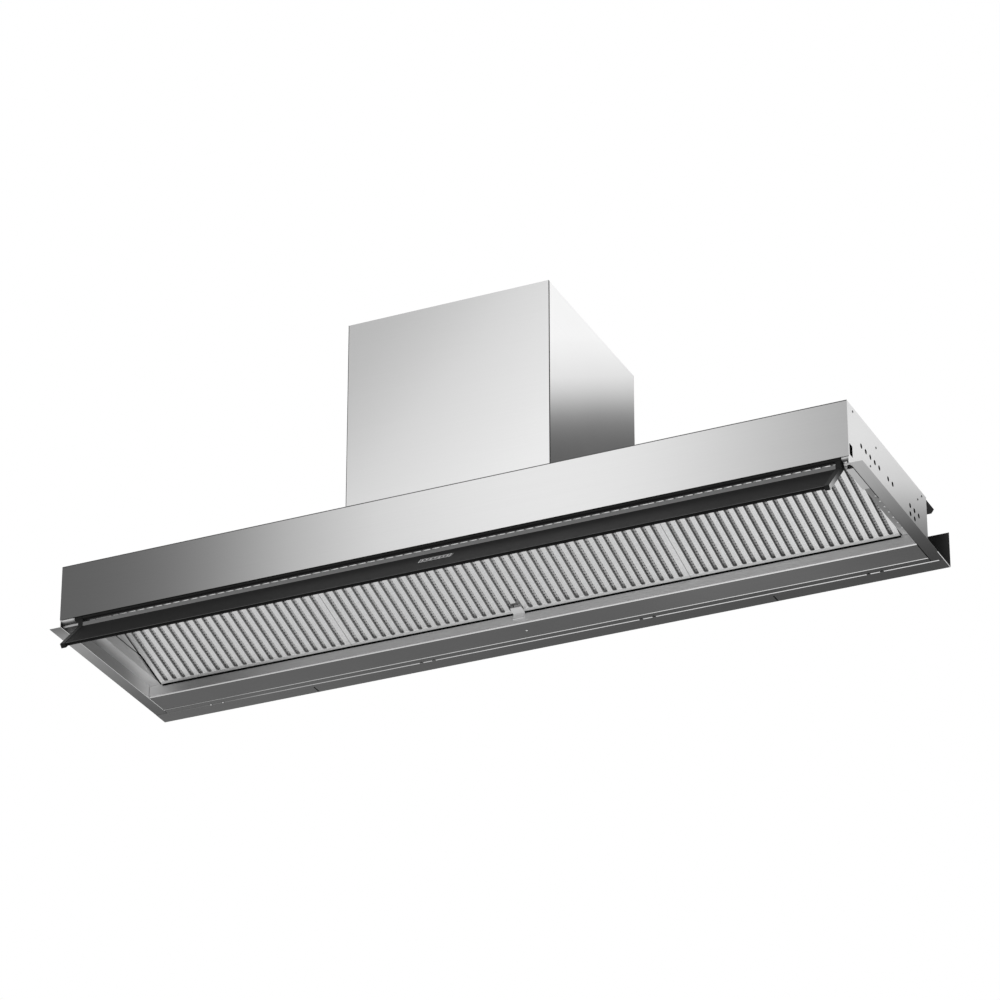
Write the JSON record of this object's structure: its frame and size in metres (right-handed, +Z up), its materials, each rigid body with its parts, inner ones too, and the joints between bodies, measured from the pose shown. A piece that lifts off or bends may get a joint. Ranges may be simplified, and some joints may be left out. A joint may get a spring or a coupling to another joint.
{
  "type": "built-in range hood",
  "caption": "Wide built-in kitchen range hood: shallow brushed steel canopy with a tilting black glass visor, slotted grease filters and a fan box with a round duct collar on top.",
  "frame": {"origin": "centre of the hanging bolt pattern, on the top face of the fan box lid", "axes": "+X to the right seen from the front, +Y towards the wall, +Z up"},
  "size_m": [1.5, 0.4779, 0.5964],
  "materials": {
    "satin_steel": "fine brushed stainless steel",
    "brushed_trim": "satin stainless steel",
    "zinc_steel": "plain zinc coated steel",
    "filter_steel": "fine grained slotted steel",
    "mesh_metal": "perforated backing",
    "black_plastic": "moulded, matt",
    "black_metal": "black powder coat",
    "dark_glass": "black backed glass, opaque",
    "grey_metal": "satin grey",
    "board": "circuit board",
    "lamp_white": "milky lamp cover",
    "latch_plastic": "light grey latch",
    "motor_metal": "painted motor can",
    "wheel_plastic": "moulded fan wheel"
  },
  "bodies": {
    "housing": {"front_fascia": "satin_steel", "left_side_plate": "satin_steel", "right_side_plate": "satin_steel", "rear_plate": "satin_steel", "top_plate": "satin_steel", "left_trim": "brushed_trim", "right_trim": "brushed_trim", "rear_angle": "brushed_trim", "angle_clips": "zinc_steel", "left_liner": "brushed_trim", "right_liner": "brushed_trim", "left_liner_cover": "brushed_trim", "right_liner_cover": "brushed_trim", "rear_liner": "brushed_trim", "front_liner": "brushed_trim", "left_cheek": "brushed_trim", "right_cheek": "brushed_trim", "liner_rivets": "zinc_steel", "body_screws": "zinc_steel", "rear_spacers": "black_plastic", "lamp_housing": "zinc_steel", "lamp_diffuser": "lamp_white", "filter_hinge_rod": "zinc_steel", "rod_hangers": "zinc_steel", "filter_catches": "black_plastic", "visor_shaft_left": "zinc_steel", "visor_shaft_right": "zinc_steel", "visor_rest_pins": "zinc_steel", "fan_box_front": "satin_steel", "fan_box_left": "satin_steel", "fan_box_right": "satin_steel", "fan_box_back": "satin_steel", "fan_box_lid": "satin_steel", "duct_collar": "zinc_steel", "fan_scroll": "zinc_steel", "fan_scroll_sides": "zinc_steel", "fan_motor": "motor_metal", "motor_bracket": "zinc_steel", "control_box": "black_plastic"},
    "visor": {"visor_barrel": "black_metal", "visor_end_caps": "black_plastic", "visor_glass": "dark_glass", "visor_tray": "black_metal", "visor_lip": "grey_metal", "touch_panel": "dark_glass", "touch_board": "board"},
    "left_filter": {"left_filter_face": "filter_steel", "left_filter_mesh": "mesh_metal", "left_filter_frame": "zinc_steel"},
    "mid_filter": {"mid_filter_face": "filter_steel", "mid_filter_mesh": "mesh_metal", "mid_filter_frame": "zinc_steel"},
    "right_filter": {"right_filter_face": "filter_steel", "right_filter_mesh": "mesh_metal", "right_filter_frame": "zinc_steel"},
    "latch": {"filter_latch": "latch_plastic"},
    "wheel": {"fan_wheel": "wheel_plastic", "motor_shaft": "zinc_steel"},
    "front_flap": {"front_damper": "zinc_steel"},
    "rear_flap": {"rear_damper": "zinc_steel"}
  },
  "joints": [
    {"name": "visor_tilt", "type": "hinge", "parent": "housing", "child": "visor", "pos_m": [0, -0.1996, -0.4691], "axis": [1, 0, 0], "range_deg": [0, 120]},
    {"name": "left_filter_swing", "type": "hinge", "parent": "housing", "child": "left_filter", "pos_m": [-0.51082, -0.1077, -0.39018], "axis": [-1, 0, 0], "range_deg": [0, 60]},
    {"name": "mid_filter_swing", "type": "hinge", "parent": "housing", "child": "mid_filter", "pos_m": [0, -0.1077, -0.39018], "axis": [-1, 0, 0], "range_deg": [0, 60]},
    {"name": "right_filter_swing", "type": "hinge", "parent": "housing", "child": "right_filter", "pos_m": [0.51082, -0.1077, -0.39018], "axis": [-1, 0, 0], "range_deg": [0, 60]},
    {"name": "latch_slide", "type": "slide", "parent": "mid_filter", "child": "latch", "axis": [0, -0.9568, 0.2907], "range_m": [0, 0.006], "stiffness_N_per_m": 200},
    {"name": "wheel_spin", "type": "hinge", "parent": "housing", "child": "wheel", "pos_m": [0, -0.04542, -0.20896], "axis": [1, 0, 0], "continuous": true},
    {"name": "front_flap_swing", "type": "hinge", "parent": "housing", "child": "front_flap", "pos_m": [0, 0.05206, 0.0134], "axis": [-1, 0, 0], "range_deg": [0, 80]},
    {"name": "rear_flap_swing", "type": "hinge", "parent": "housing", "child": "rear_flap", "pos_m": [0, 0.06006, 0.0134], "axis": [1, 0, 0], "range_deg": [0, 80]}
  ]
}
